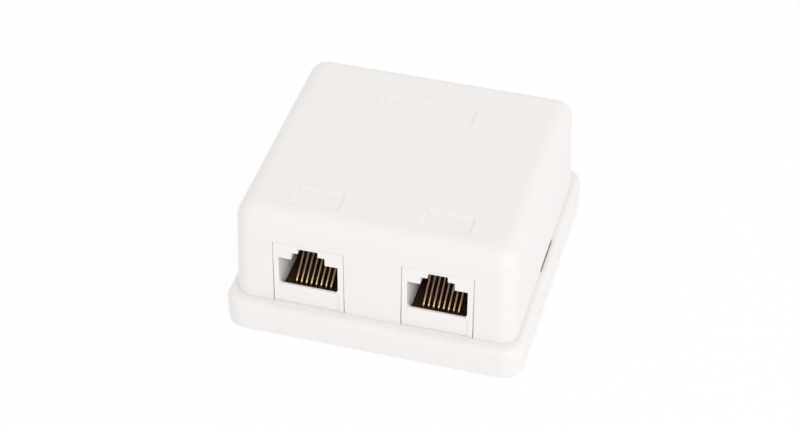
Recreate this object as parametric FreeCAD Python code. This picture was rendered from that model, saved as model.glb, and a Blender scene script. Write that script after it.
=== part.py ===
import FreeCAD, Part
import math
import os

# Surface mount box with two 8-position sockets: a wall base, a clip-on cover, and between them a
# circuit board that carries the sockets in front and the punch-down blocks behind them.
# Millimetres. X runs along the front, -Y is the socket side, Z is up from the wall face.
# The origin is the middle of the base's underside.

V = FreeCAD.Vector

OVERCUT = 1.0                      # how far a cutting shape runs past what it cuts
ROOT = 1.0                         # how deep an added rib or post is sunk into what it stands on

# ---- Base -------------------------------------------------------------------------------------
BASE_W, BASE_D = 60.7, 59.6
BASE_TOP = 7.05                    # height of the ledge that the cover stands on
BASE_CORNER = 4.3
BASE_EDGE = 1.5                    # rounding of the ledge's outer edge
BASE_FOOT_EDGE = 0.4               # slant round the underside
FLOOR = 2.0
WELL_HALF_W = 27.2                 # inside of the base's wall
WELL_FRONT, WELL_REAR = -25.9, 25.4
WELL_CORNER = 2.4

# ---- Cover ------------------------------------------------------------------------------------
COVER_W, COVER_D = 57.4, 54.1      # at the ledge
COVER_Y = -0.27                    # the ledge is a little deeper behind the cover than before it
COVER_TOP = 28.6
COVER_EDGE = 3.6                   # rounding of the upright corners and round the top
COVER_WALL = 1.9
COVER_ROOF = 2.0
DRAFT = 0.03                       # lean of the moulded sides, as a slope
POCKET_DEPTH = 0.35
POCKET_CORNER = 0.35
PORT_POCKET = (10.0, 5.4, -19.7)   # width, depth and place along Y of the two port label recesses
TOP_POCKET = (20.0, 5.1, 13.35)    # the long recess at the rear
PRY_SLOT_HALF, PRY_SLOT_H = 5.05, 0.65
PRY_POCKET_WALL = 1.6              # what the pocket under that slot leaves of the base's wall

# ---- Sockets ----------------------------------------------------------------------------------
PORT_X = 13.0                      # each socket's distance from the middle
POCKET_X = 12.97
WINDOW_HALF, WINDOW_TOP_HALF, WINDOW_TOP = 7.27, 7.24, 21.8
SOCKET_HALF, SOCKET_TOP = 7.17, 21.72
SOCKET_FACE = -27.3                # front face at the ledge, level with the cover's and leaning with it
SOCKET_FOOT = 7.1                  # the face ends just above the ledge
SOCKET_STEP_Y = -25.6              # below it the body steps back inside the base's wall
SOCKET_DEPTH = 17.6
SOCKET_CORNER, SOCKET_EDGE = 0.4, 0.2          # rounded top corners, slanted edge round the face
MOUTH_HALF, MOUTH_LOW, MOUTH_HIGH = 6.0, 11.65, 18.3
MOUTH_CHAMFER = 0.45
LATCH_SHOULDER_HALF, LATCH_SHOULDER_TOP = 3.4, 20.0
LATCH_SLOT_HALF, LATCH_SLOT_TOP = 2.0, 21.2
LATCH_LIP = 1.6                    # thickness of the wall that the plug's latch hooks behind
LATCH_CHANNEL = 10.0
LOWER_LIP = 0.85                   # thickness of the wall under the mouth
SHELF_TOP = 7.9                    # top of the step that overhangs the base's wall
FACE_PANEL_HALF, FACE_PANEL_DEPTH = 6.2, 0.2

# ---- Socket contacts and their carrier --------------------------------------------------------
PINS = 8
PITCH = 1.016
CONTACT_W, CONTACT_T = 0.42, 0.42
CONTACT_RUN_Z = 8.435              # the run inside the carrier
CONTACT_BEND = 1.0
CONTACT_FRONT = 3.35               # how far behind the face the contacts turn back
CONTACT_RISE = 34.0                # slope of the free legs, degrees
CONTACT_END = 11.7
TAIL_ROWS = (9.0, 11.54)           # odd and even tails, behind the face
TAIL_END = 3.8
CARRIER_TOP = 9.3
COMB_FRONT, COMB_REAR, COMB_TOP = 11.2, 16.2, 18.2
COMB_SLOT_LOW, COMB_SLOT_TOP, COMB_SLOT_REAR = 12.6, 17.2, 12.9
SLOT_CLEARANCE = 0.04
CARRIER_RUN = 2.9                  # length of the open front of each contact's slot
PEG_HALF, PEG_U, PEG_V, PEG_END = 1.0, 4.4, 14.4, 5.4

# ---- Circuit board ----------------------------------------------------------------------------
BOARD_HALF, BOARD_FRONT, BOARD_REAR = 23.5, -25.2, 9.0
BOARD_LOW, BOARD_TOP = 5.0, 6.6
BOARD_CORNER = 1.0
NOTCH_HALF, NOTCH_REAR = 5.0, -21.5
SCREW_Y = (-15.5, 2.5)             # both screws stand on the middle line
SCREW_R, SCREW_HOLE_R, SCREW_END = 1.05, 1.3, 1.2
HEAD_R, HEAD_H = 2.0, 1.3
RECESS_L, RECESS_W, RECESS_DEPTH = 2.0, 0.5, 0.8
POST_R, POST_BLIND = 2.4, 0.8
REST_IN, REST_Y, REST_T = 20.5, (-21.5, 6.5), 1.6

# ---- Punch-down blocks ------------------------------------------------------------------------
BLOCK_HALF, BLOCK_FRONT, BLOCK_REAR = 6.6, -6.6, 5.6
BLOCK_DECK, BLOCK_SHOULDER, BLOCK_TOP = 10.6, 12.6, 17.6
BLADE_PITCH, BLADES_IN_ROW = 2.9, 4
ROW_Y, ROW_HALF, ROW_TOP_HALF = (-4.4, 3.4), 2.2, 1.3
WIRE_SLOT_HALF, WIRE_SLOT_LOW = 0.45, 11.6
WIRE_GUIDE_HALF, WIRE_GUIDE_DEPTH = 1.1, 1.3
BLADE_HALF, BLADE_T, BLADE_TOP = 1.0, 0.4, 15.4
FORK_HALF, FORK_LOW = 0.16, 11.4
FORK_LEAD, FORK_LEAD_H = 0.55, 1.2
BLADE_TAIL_HALF, BLADE_TAIL_END = 0.25, 3.9

# ---- Snap tongues, ribs and wall fixing ---------------------------------------------------------
TONGUE_HALF, TONGUE_IN, TONGUE_OUT, TONGUE_TOP = 4.0, 24.3, 25.6, 12.9
TONGUE_LEAD = 0.3
HOOK_OUT, HOOK_LOW, HOOK_NOSE = 26.4, 10.4, 10.9
CATCH_IN, CATCH_LOW, CATCH_NOSE, CATCH_TOP = 25.85, 8.6, 9.2, 10.25
CATCH_HALF, CATCH_SLANT = 3.6, 0.6
RIB_T, RIB_TOP, RIB_GAP, RIB_DEPTH, RIB_LEAD = 1.2, 9.8, 0.25, 1.2, 0.4
SIDE_RIB_Y = (-16.0, 13.0)
REAR_RIB_X = (-19.0, 19.0)
WALL_SLOT_X, WALL_SLOT_Y, WALL_SLOT_R, WALL_SLOT_L = 20.0, 17.0, 2.1, 8.0
CABLE_HOLE_HALF, CABLE_HOLE_Y, CABLE_HOLE_R = 11.0, 19.3, 4.0
TIE_X, TIE_Y, TIE_TOP = 6.5, 12.3, 5.6
TIE_HALF_X, TIE_HALF_Y, TIE_SLOT_HALF, TIE_SLOT_TOP = 2.2, 2.7, 1.5, 3.8
HOLD_RIB_T, HOLD_RIB_HALF, HOLD_RIB_Y, HOLD_GAP = 1.2, 4.0, (-21.0, -14.0), 0.25
KNOCKOUT_HALF, KNOCKOUT_TOP, KNOCKOUT_WEB = 4.5, 15.0, 0.7
KNOCKOUT_GROOVE, KNOCKOUT_GROOVE_DEPTH = 0.5, 0.3


# ---- Shape helpers ----------------------------------------------------------------------------
def block(x0, x1, y0, y1, z0, z1):
    return Part.makeBox(x1 - x0, y1 - y0, z1 - z0, V(x0, y0, z0))


def post(x, y, z0, z1, radius):
    return Part.makeCylinder(radius, z1 - z0, V(x, y, z0))


def rounded_rectangle(x0, x1, y0, y1, radius, z):
    """Closed wire of four straight sides and four corner arcs at height z."""
    c = radius * (1 - math.sqrt(0.5))
    corners = [
        (V(x1 - radius, y0, z), V(x1 - c, y0 + c, z), V(x1, y0 + radius, z)),
        (V(x1, y1 - radius, z), V(x1 - c, y1 - c, z), V(x1 - radius, y1, z)),
        (V(x0 + radius, y1, z), V(x0 + c, y1 - c, z), V(x0, y1 - radius, z)),
        (V(x0, y0 + radius, z), V(x0 + c, y0 + c, z), V(x0 + radius, y0, z)),
    ]
    edges = []
    for i, arc in enumerate(corners):
        edges.append(Part.Arc(*arc).toShape())
        edges.append(Part.makeLine(arc[2], corners[(i + 1) % 4][0]))
    return Part.Wire(edges)


def rounded_block(x0, x1, y0, y1, radius, z0, z1):
    face = Part.Face(rounded_rectangle(x0, x1, y0, y1, radius, z0))
    return face.extrude(V(0, 0, z1 - z0))


def slot(x, y, half_length, radius, z0, z1):
    """Straight slot with round ends, along X."""
    straight = half_length - radius
    body = block(x - straight, x + straight, y - radius, y + radius, z0, z1)
    return body.multiFuse([post(x - straight, y, z0, z1, radius), post(x + straight, y, z0, z1, radius)])


def side_profile(points, x0, x1):
    """Extrude a closed outline of (y, z) points from x0 to x1."""
    outline = [V(x0, y, z) for y, z in points]
    return Part.Face(Part.makePolygon(outline + outline[:1])).extrude(V(x1 - x0, 0, 0))


def front_profile(points, y0, y1):
    """Extrude a closed outline of (x, z) points from y0 to y1."""
    outline = [V(x, y0, z) for x, z in points]
    return Part.Face(Part.makePolygon(outline + outline[:1])).extrude(V(0, y1 - y0, 0))


def edges_where(shape, test):
    return [edge for edge in shape.Edges if test(edge.BoundBox)]


def at_height(z):
    return lambda box: abs(box.ZMin - z) < 1e-3 and abs(box.ZMax - z) < 1e-3


def bent_edges(points, radii):
    """Edges through the points, with a tangent arc at each inner one, or a plain corner for radius 0."""
    edges = []
    start = points[0]
    for before, corner, after, radius in zip(points, points[1:], points[2:], radii):
        if radius == 0:
            edges.append(Part.makeLine(start, corner))
            start = corner
            continue
        back = (before - corner).normalize()
        ahead = (after - corner).normalize()
        half_angle = back.getAngle(ahead) / 2
        reach = radius / math.tan(half_angle)
        enter, leave = corner + back * reach, corner + ahead * reach
        bisector = (back + ahead).normalize()
        centre = corner + bisector * (radius / math.sin(half_angle))
        edges.append(Part.makeLine(start, enter))
        edges.append(Part.Arc(enter, centre - bisector * radius, leave).toShape())
        start = leave
    return edges + [Part.makeLine(start, points[-1])]


def bent_strip(x, width, thickness, points, radii):
    """Strip of sheet metal bent along a path of (y, z) points, with its width along X."""
    corners = [V(x - width / 2, y, z) for y, z in points]
    runs = [(b - a).normalize() for a, b in zip(corners, corners[1:])]
    normals = [V(0, -run.z, run.y) for run in runs]
    turns = [math.copysign(1, a.cross(b).x) for a, b in zip(runs, runs[1:])]
    sides = []
    for side in (-1, 1):
        shift = side * thickness / 2
        offset = [corners[0] + normals[0] * shift]
        for corner, a, b in zip(corners[1:], normals, normals[1:]):
            offset.append(corner + (a + b) * (shift / (1 + a.dot(b))))
        offset.append(corners[-1] + normals[-1] * shift)
        side_radii = [radius and radius - turn * shift for radius, turn in zip(radii, turns)]
        sides.append((offset, bent_edges(offset, side_radii)))
    (right, right_edges), (left, left_edges) = sides
    ends = [Part.makeLine(right[0], left[0]), Part.makeLine(right[-1], left[-1])]
    outline = Part.Wire(Part.__sortEdges__(right_edges + left_edges + ends))
    return Part.Face(outline).extrude(V(width, 0, 0))


def cleaned(shape):
    """One solid without seams left by the fusing."""
    return shape.removeSplitter()


# ---- Base ---------------------------------------------------------------------------------------
def base_tray():
    outer = rounded_block(-BASE_W / 2, BASE_W / 2, -BASE_D / 2, BASE_D / 2, BASE_CORNER, 0, BASE_TOP)
    outer = outer.makeFillet(BASE_EDGE, edges_where(outer, at_height(BASE_TOP)))
    outer = outer.makeChamfer(BASE_FOOT_EDGE, edges_where(outer, at_height(0)))
    well = rounded_block(-WELL_HALF_W, WELL_HALF_W, WELL_FRONT, WELL_REAR, WELL_CORNER,
                         FLOOR, BASE_TOP + OVERCUT)
    return outer.cut(well)


def snap_tongue(side):
    """Upright tongue with an outward hook; side is -1 on the left and 1 on the right."""
    outline = [
        (side * TONGUE_IN, FLOOR - ROOT),
        (side * TONGUE_OUT, FLOOR - ROOT),
        (side * TONGUE_OUT, HOOK_LOW),
        (side * HOOK_OUT, HOOK_LOW),
        (side * HOOK_OUT, HOOK_NOSE),
        (side * (TONGUE_OUT - TONGUE_LEAD), TONGUE_TOP),
        (side * TONGUE_IN, TONGUE_TOP),
    ]
    return front_profile(outline, -TONGUE_HALF, TONGUE_HALF)


def rib_outline(well, cover_face, out):
    """Rib that grows from the well's wall and stands just inside the cover; out is -1 or 1."""
    face = cover_face - out * (COVER_WALL + DRAFT * (RIB_TOP - BASE_TOP) + RIB_GAP)
    return [
        (well + out * ROOT, FLOOR - ROOT),
        (well + out * ROOT, BASE_TOP - ROOT),
        (face, BASE_TOP),
        (face, RIB_TOP - RIB_LEAD),
        (face - out * RIB_LEAD, RIB_TOP),
        (face - out * RIB_DEPTH, RIB_TOP),
        (face - out * RIB_DEPTH, FLOOR - ROOT),
    ]


def locating_ribs():
    """Ribs that reach up inside the cover and keep its sides from bowing in."""
    ribs = []
    for side in (-1, 1):
        outline = rib_outline(side * WELL_HALF_W, side * COVER_W / 2, side)
        ribs += [front_profile(outline, y - RIB_T / 2, y + RIB_T / 2) for y in SIDE_RIB_Y]
    rear = rib_outline(WELL_REAR, COVER_Y + COVER_D / 2, 1)
    ribs += [side_profile(rear, x - RIB_T / 2, x + RIB_T / 2) for x in REAR_RIB_X]
    front = rib_outline(WELL_FRONT, COVER_Y - COVER_D / 2, -1)
    ribs.append(side_profile(front, -RIB_T / 2, RIB_T / 2))
    return ribs


def board_supports():
    """Two bored posts for the screws, and four ribs from the side walls under the board's corners."""
    supports = [post(0, y, FLOOR - ROOT, BOARD_LOW, POST_R) for y in SCREW_Y]
    for side in (-1, 1):
        x0, x1 = sorted((side * REST_IN, side * (WELL_HALF_W + ROOT)))
        supports += [block(x0, x1, y - REST_T / 2, y + REST_T / 2, FLOOR - ROOT, BOARD_LOW) for y in REST_Y]
    return supports


def tie_anchors():
    return [block(side * TIE_X - TIE_HALF_X, side * TIE_X + TIE_HALF_X,
                  TIE_Y - TIE_HALF_Y, TIE_Y + TIE_HALF_Y, FLOOR - ROOT, TIE_TOP) for side in (-1, 1)]


def pry_pocket():
    """Relief inside the right wall, under the cover's slot, for the tip of a screwdriver."""
    return block(WELL_HALF_W - OVERCUT, BASE_W / 2 - PRY_POCKET_WALL, -PRY_SLOT_HALF, PRY_SLOT_HALF,
                 FLOOR, BASE_TOP + OVERCUT)


def base_holes():
    holes = [post(0, y, POST_BLIND, BOARD_LOW + OVERCUT, SCREW_R) for y in SCREW_Y]
    holes.append(pry_pocket())
    for side in (-1, 1):
        holes.append(slot(side * WALL_SLOT_X, WALL_SLOT_Y, WALL_SLOT_L / 2, WALL_SLOT_R,
                          -OVERCUT, FLOOR + OVERCUT))
        reach = TIE_HALF_X + OVERCUT
        holes.append(block(side * TIE_X - reach, side * TIE_X + reach, TIE_Y - TIE_SLOT_HALF,
                           TIE_Y + TIE_SLOT_HALF, -OVERCUT, TIE_SLOT_TOP))
    holes.append(slot(0, CABLE_HOLE_Y, CABLE_HOLE_HALF, CABLE_HOLE_R, -OVERCUT, FLOOR + OVERCUT))
    return holes


def make_base():
    added = [snap_tongue(-1), snap_tongue(1)] + locating_ribs() + board_supports() + tie_anchors()
    return cleaned(base_tray().multiFuse(added).cut(Part.makeCompound(base_holes())))


# ---- Cover --------------------------------------------------------------------------------------
def leaning_block(inset, foot, top):
    """Block whose four sides lean in by the draft, inset from the cover's outline at the ledge."""
    half_w, half_d = COVER_W / 2 - inset, COVER_D / 2 - inset
    low, high = -DRAFT * (foot - BASE_TOP), -DRAFT * (top - BASE_TOP)
    # The wedge is made lying on its side, with its height along Y, and then stood up.
    solid = Part.makeWedge(-half_w - low, foot, -COVER_Y - half_d - low, -COVER_Y - half_d - high,
                           -half_w - high, half_w + low, top, -COVER_Y + half_d + low,
                           -COVER_Y + half_d + high, half_w + high)
    solid.rotate(V(0, 0, 0), V(1, 0, 0), 90)
    return solid


def upright(box):
    return box.ZLength > 1


def cover_shell():
    outer = leaning_block(0, BASE_TOP, COVER_TOP)
    rounded = edges_where(outer, upright) + edges_where(outer, at_height(COVER_TOP))
    outer = outer.makeFillet(COVER_EDGE, rounded)
    inner = leaning_block(COVER_WALL, BASE_TOP - OVERCUT, COVER_TOP - COVER_ROOF)
    inner = inner.makeFillet(COVER_EDGE - COVER_WALL, edges_where(inner, upright))
    return outer.cut(inner)


def label_pockets():
    """The three shallow recesses for labels in the roof."""
    pockets = []
    for x, (width, depth, y) in ((-POCKET_X, PORT_POCKET), (POCKET_X, PORT_POCKET), (0, TOP_POCKET)):
        pockets.append(rounded_block(x - width / 2, x + width / 2, y - depth / 2, y + depth / 2,
                                     POCKET_CORNER, COVER_TOP - POCKET_DEPTH, COVER_TOP + OVERCUT))
    return pockets


def windows():
    """Openings for the socket faces, open at the cover's lower edge and a little wider there."""
    front = COVER_Y - COVER_D / 2
    openings = []
    for x in (-PORT_X, PORT_X):
        outline = [(x - WINDOW_HALF, BASE_TOP - OVERCUT), (x + WINDOW_HALF, BASE_TOP - OVERCUT),
                   (x + WINDOW_TOP_HALF, WINDOW_TOP), (x - WINDOW_TOP_HALF, WINDOW_TOP)]
        openings.append(front_profile(outline, front - OVERCUT, front + COVER_WALL + OVERCUT))
    return openings


def pry_slot():
    side = COVER_W / 2
    return block(side - COVER_WALL - OVERCUT, side + OVERCUT, -PRY_SLOT_HALF, PRY_SLOT_HALF,
                 BASE_TOP - OVERCUT, BASE_TOP + PRY_SLOT_H)


def arch(half, top, y0, y1):
    """Upright arch with a half-round head, open downwards."""
    spring = top - half
    head = Part.makeCylinder(half, y1 - y0, V(0, y0, spring), V(0, 1, 0))
    return block(-half, half, y0, y1, BASE_TOP - OVERCUT, spring).fuse(head)


def knockout():
    """Thinned arch in the rear wall, with a shallow groove round it on the outside."""
    rear = COVER_Y + COVER_D / 2
    outside = rear - DRAFT * (KNOCKOUT_TOP - BASE_TOP)
    inside = rear - COVER_WALL - OVERCUT
    half, top, grow = KNOCKOUT_HALF, KNOCKOUT_TOP, KNOCKOUT_GROOVE
    thinning = arch(half, top, inside, outside - KNOCKOUT_WEB)
    groove = arch(half + grow, top + grow, outside - KNOCKOUT_GROOVE_DEPTH, rear + OVERCUT)
    return [thinning, groove.cut(arch(half, top, inside, rear + 2 * OVERCUT))]


def catch_ribs():
    """Ribs inside the two sides that the base's hooks hold down."""
    wall = COVER_W / 2 - COVER_WALL + ROOT
    ribs = []
    for side in (-1, 1):
        outline = [
            (side * wall, CATCH_LOW - CATCH_SLANT),
            (side * wall, CATCH_TOP),
            (side * CATCH_IN, CATCH_TOP),
            (side * CATCH_IN, CATCH_NOSE),
            (side * (CATCH_IN + CATCH_SLANT), CATCH_LOW),
        ]
        ribs.append(front_profile(outline, -CATCH_HALF, CATCH_HALF))
    return ribs


def hold_down_ribs():
    """Ribs under the roof that keep the sockets on the board."""
    top = COVER_TOP - COVER_ROOF + ROOT
    return [block(x - HOLD_RIB_HALF, x + HOLD_RIB_HALF, y - HOLD_RIB_T / 2, y + HOLD_RIB_T / 2,
                  SOCKET_TOP + HOLD_GAP, top) for x in (-PORT_X, PORT_X) for y in HOLD_RIB_Y]


def make_cover():
    shell = cover_shell().multiFuse(catch_ribs() + hold_down_ribs())
    openings = windows() + label_pockets() + knockout() + [pry_slot()]
    return cleaned(shell.cut(Part.makeCompound(openings)))


# ---- Circuit board ------------------------------------------------------------------------------
def pin_x(pin):
    return (pin - (PINS - 1) / 2) * PITCH


def blade_places():
    """(x, y) of the eight blades of a block, about the port's middle."""
    return [((i - (BLADES_IN_ROW - 1) / 2) * BLADE_PITCH, y) for y in ROW_Y for i in range(BLADES_IN_ROW)]


def board_hole(x, y, half_x, half_y):
    """Square hole that a solder tail or a peg fills."""
    return block(x - half_x, x + half_x, y - half_y, y + half_y, BOARD_LOW - OVERCUT, BOARD_TOP + OVERCUT)


def board_holes():
    holes = [post(0, y, BOARD_LOW - OVERCUT, BOARD_TOP + OVERCUT, SCREW_HOLE_R) for y in SCREW_Y]
    for port in (-PORT_X, PORT_X):
        for pin in range(PINS):
            y = SOCKET_FACE + TAIL_ROWS[pin % 2]
            holes.append(board_hole(port + pin_x(pin), y, CONTACT_W / 2, CONTACT_T / 2))
        for x, y in blade_places():
            holes.append(board_hole(port + x, y, BLADE_TAIL_HALF, BLADE_T / 2))
        for side in (-1, 1):
            holes.append(board_hole(port + side * PEG_U, SOCKET_FACE + PEG_V, PEG_HALF, PEG_HALF))
    return holes


def make_board():
    board = rounded_block(-BOARD_HALF, BOARD_HALF, BOARD_FRONT, BOARD_REAR, BOARD_CORNER,
                          BOARD_LOW, BOARD_TOP)
    notch = block(-NOTCH_HALF, NOTCH_HALF, BOARD_FRONT - OVERCUT, NOTCH_REAR,
                  BOARD_LOW - OVERCUT, BOARD_TOP + OVERCUT)
    return board.cut(Part.makeCompound([notch] + board_holes()))


def board_screw(y):
    """Pan-head screw with a cross recess, its shank in the post's bore."""
    top = BOARD_TOP + HEAD_H
    screw = post(0, y, BOARD_TOP, top, HEAD_R).fuse(post(0, y, SCREW_END, BOARD_TOP, SCREW_R))
    for half_x, half_y in ((RECESS_L / 2, RECESS_W / 2), (RECESS_W / 2, RECESS_L / 2)):
        recess = block(-half_x, half_x, y - half_y, y + half_y, top - RECESS_DEPTH, top + OVERCUT)
        screw = screw.cut(recess)
    return cleaned(screw)


def make_screws():
    return Part.makeCompound([board_screw(y) for y in SCREW_Y])


# ---- Sockets ------------------------------------------------------------------------------------
def face_y(z):
    return SOCKET_FACE + DRAFT * (z - BASE_TOP)


def mouth_outline():
    """The socket's mouth: plug opening, latch shoulder and latch slot above it."""
    c = MOUTH_CHAMFER
    right = [
        (MOUTH_HALF - c, MOUTH_LOW),
        (MOUTH_HALF, MOUTH_LOW + 2 * c),
        (MOUTH_HALF, MOUTH_HIGH),
        (LATCH_SHOULDER_HALF, MOUTH_HIGH),
        (LATCH_SHOULDER_HALF, LATCH_SHOULDER_TOP),
        (LATCH_SLOT_HALF, LATCH_SHOULDER_TOP),
        (LATCH_SLOT_HALF, LATCH_SLOT_TOP),
    ]
    return right + [(-u, z) for u, z in reversed(right)]


def socket_cavity():
    """Room for the carrier and the plug, open to the rear and, behind the step, downwards."""
    rear = SOCKET_FACE + SOCKET_DEPTH + OVERCUT
    lip = SOCKET_FACE + LOWER_LIP
    step = SOCKET_STEP_Y + LOWER_LIP
    low = BOARD_TOP - OVERCUT
    outline = [(lip, SHELF_TOP), (lip, MOUTH_HIGH), (rear, MOUTH_HIGH), (rear, low), (step, low),
               (step, SHELF_TOP)]
    return side_profile(outline, -MOUTH_HALF, MOUTH_HALF)


def face_panel():
    """Shallow recess across the face, from the mouth down."""
    low, high = SOCKET_FOOT - OVERCUT, MOUTH_LOW
    outline = [(SOCKET_FACE - OVERCUT, low), (SOCKET_FACE - OVERCUT, high),
               (face_y(high) + FACE_PANEL_DEPTH, high), (face_y(low) + FACE_PANEL_DEPTH, low)]
    return side_profile(outline, -FACE_PANEL_HALF, FACE_PANEL_HALF)


def make_socket(port):
    rear = SOCKET_FACE + SOCKET_DEPTH
    outline = [(face_y(SOCKET_FOOT), SOCKET_FOOT), (face_y(SOCKET_TOP), SOCKET_TOP), (rear, SOCKET_TOP),
               (rear, BOARD_TOP), (SOCKET_STEP_Y, BOARD_TOP), (SOCKET_STEP_Y, SOCKET_FOOT)]
    body = side_profile(outline, -SOCKET_HALF, SOCKET_HALF)
    top_sides = edges_where(body, lambda box: box.ZMin > SOCKET_TOP - SOCKET_EDGE and box.XLength < 1)
    body = body.makeFillet(SOCKET_CORNER, top_sides)
    body = body.makeChamfer(SOCKET_EDGE, edges_where(body, lambda box: box.YMax < SOCKET_FACE + LOWER_LIP))
    mouth = front_profile(mouth_outline(), SOCKET_FACE - OVERCUT, SOCKET_FACE + LATCH_LIP)
    channel = block(-LATCH_SHOULDER_HALF, LATCH_SHOULDER_HALF, SOCKET_FACE + LATCH_LIP,
                    SOCKET_FACE + LATCH_CHANNEL, MOUTH_HIGH - OVERCUT, LATCH_SLOT_TOP)
    body = body.cut(Part.makeCompound([mouth, socket_cavity(), channel, face_panel()]))
    return cleaned(body).translated(V(port, 0, 0))


def make_carrier(port):
    """Insulator that holds the contacts: a floor with comb slots in front and a comb wall behind."""
    front, comb, rear = (SOCKET_FACE + v for v in (LOWER_LIP, COMB_FRONT, COMB_REAR))
    step = SOCKET_STEP_Y + LOWER_LIP
    outline = [(front, SHELF_TOP), (front, CARRIER_TOP), (comb, CARRIER_TOP), (comb, COMB_TOP),
               (rear, COMB_TOP), (rear, BOARD_TOP), (step, BOARD_TOP), (step, SHELF_TOP)]
    body = side_profile(outline, -MOUTH_HALF, MOUTH_HALF)
    half = CONTACT_W / 2 + SLOT_CLEARANCE
    low, roof = CONTACT_RUN_Z - CONTACT_T / 2 - SLOT_CLEARANCE, CONTACT_RUN_Z + CONTACT_T / 2
    nose = SOCKET_FACE + CONTACT_FRONT - CONTACT_T
    turn = nose + CARRIER_RUN
    slots = []
    for pin in range(PINS):
        x0, x1 = pin_x(pin) - half, pin_x(pin) + half
        tail = SOCKET_FACE + TAIL_ROWS[pin % 2] + CONTACT_T
        slots.append(block(x0, x1, nose, turn, low, CARRIER_TOP + OVERCUT))
        slots.append(block(x0, x1, turn - SLOT_CLEARANCE, tail, BOARD_TOP - OVERCUT, roof))
        slots.append(block(x0, x1, comb - OVERCUT, SOCKET_FACE + COMB_SLOT_REAR,
                           COMB_SLOT_LOW, COMB_SLOT_TOP))
    body = body.cut(Part.makeCompound(slots))
    peg_y = SOCKET_FACE + PEG_V
    pegs = [block(side * PEG_U - PEG_HALF, side * PEG_U + PEG_HALF, peg_y - PEG_HALF, peg_y + PEG_HALF,
                  PEG_END, BOARD_TOP + ROOT) for side in (-1, 1)]
    return cleaned(body.multiFuse(pegs)).translated(V(port, 0, 0))


def make_contact(port, pin):
    """Spring contact: up from the board, forward in the carrier, and back over itself into the mouth.

    The tight bend above the tail is a plain corner.
    """
    x = port + pin_x(pin)
    rise = math.radians(CONTACT_RISE)
    turn_y = SOCKET_FACE + CONTACT_FRONT + CONTACT_BEND
    corner_y = turn_y - CONTACT_BEND * math.tan((math.pi - rise) / 2)
    tail_y = SOCKET_FACE + TAIL_ROWS[pin % 2]
    end_y = SOCKET_FACE + CONTACT_END
    points = [
        (tail_y, TAIL_END),
        (tail_y, CONTACT_RUN_Z),
        (corner_y, CONTACT_RUN_Z),
        (end_y, CONTACT_RUN_Z + (end_y - corner_y) * math.tan(rise)),
    ]
    return bent_strip(x, CONTACT_W, CONTACT_T, points, [0, CONTACT_BEND])


# ---- Punch-down blocks --------------------------------------------------------------------------
def make_block(port):
    """Two rows of four wire slots on a common foot."""
    front, rear = ROW_Y
    outline = [
        (front - ROW_HALF, BOARD_TOP),
        (front - ROW_HALF, BLOCK_SHOULDER),
        (front - ROW_TOP_HALF, BLOCK_TOP),
        (front + ROW_TOP_HALF, BLOCK_TOP),
        (front + ROW_HALF, BLOCK_SHOULDER),
        (front + ROW_HALF, BLOCK_DECK),
        (rear - ROW_HALF, BLOCK_DECK),
        (rear - ROW_HALF, BLOCK_SHOULDER),
        (rear - ROW_TOP_HALF, BLOCK_TOP),
        (rear + ROW_TOP_HALF, BLOCK_TOP),
        (rear + ROW_HALF, BLOCK_SHOULDER),
        (rear + ROW_HALF, BOARD_TOP),
    ]
    body = side_profile(outline, -BLOCK_HALF, BLOCK_HALF)
    right = [
        (WIRE_SLOT_HALF, WIRE_SLOT_LOW),
        (WIRE_SLOT_HALF, BLOCK_TOP - WIRE_GUIDE_DEPTH),
        (WIRE_GUIDE_HALF, BLOCK_TOP),
        (WIRE_GUIDE_HALF, BLOCK_TOP + OVERCUT),
    ]
    guide = right + [(-u, z) for u, z in reversed(right)]
    half_x, half_y = BLADE_HALF + SLOT_CLEARANCE / 2, (BLADE_T + SLOT_CLEARANCE) / 2
    reach = ROW_HALF + SLOT_CLEARANCE
    cuts = []
    for x, y in blade_places():
        cuts.append(front_profile([(x + u, z) for u, z in guide], y - reach, y + reach))
        cuts.append(block(x - half_x, x + half_x, y - half_y, y + half_y,
                          BOARD_TOP - OVERCUT, BLADE_TOP + SLOT_CLEARANCE))
    return cleaned(body.cut(Part.makeCompound(cuts))).translated(V(port, 0, 0))


def make_blade(port, place):
    """Forked blade that stands on the board, with a tail through it."""
    x, y = place
    right = [
        (BLADE_TAIL_HALF, BLADE_TAIL_END),
        (BLADE_TAIL_HALF, BOARD_TOP),
        (BLADE_HALF, BOARD_TOP),
        (BLADE_HALF, BLADE_TOP),
        (FORK_HALF + FORK_LEAD, BLADE_TOP),
        (FORK_HALF, BLADE_TOP - FORK_LEAD_H),
        (FORK_HALF, FORK_LOW),
    ]
    outline = [(port + x + u, z) for u, z in right + [(-u, z) for u, z in reversed(right)]]
    return front_profile(outline, y - BLADE_T / 2, y + BLADE_T / 2)


# ---- Parts list ---------------------------------------------------------------------------------
def build():
    parts = {
        "base": make_base(),
        "cover": make_cover(),
        "circuit_board": make_board(),
        "board_screws": make_screws(),
    }
    for side, port in (("left", -PORT_X), ("right", PORT_X)):
        parts[side + "_socket_housing"] = make_socket(port)
        parts[side + "_contact_carrier"] = make_carrier(port)
        parts[side + "_punch_down_block"] = make_block(port)
        for pin in range(PINS):
            parts["%s_contact_%d" % (side, pin + 1)] = make_contact(port, pin)
        for number, place in enumerate(blade_places(), 1):
            parts["%s_blade_%d" % (side, number)] = make_blade(port, place)
    return parts


def main():
    os.makedirs("parts", exist_ok=True)
    for name, shape in build().items():
        shape.exportStep("parts/" + name + ".step")
        print(name, "valid" if shape.isValid() else "INVALID", len(shape.Solids), round(shape.Volume, 2))


main()
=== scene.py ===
# A two-port surface mount jack box: white base and clip-on cover, two 8-position sockets in the
# front wall, and the circuit board with its punch-down blocks inside. Metres, +Z up from the wall
# face, the sockets towards -Y.

from math import cos, radians, sin, tan

import bmesh
import bpy
from bpy.props import FloatProperty, FloatVectorProperty, PointerProperty
from mathutils import Matrix, Vector


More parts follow.
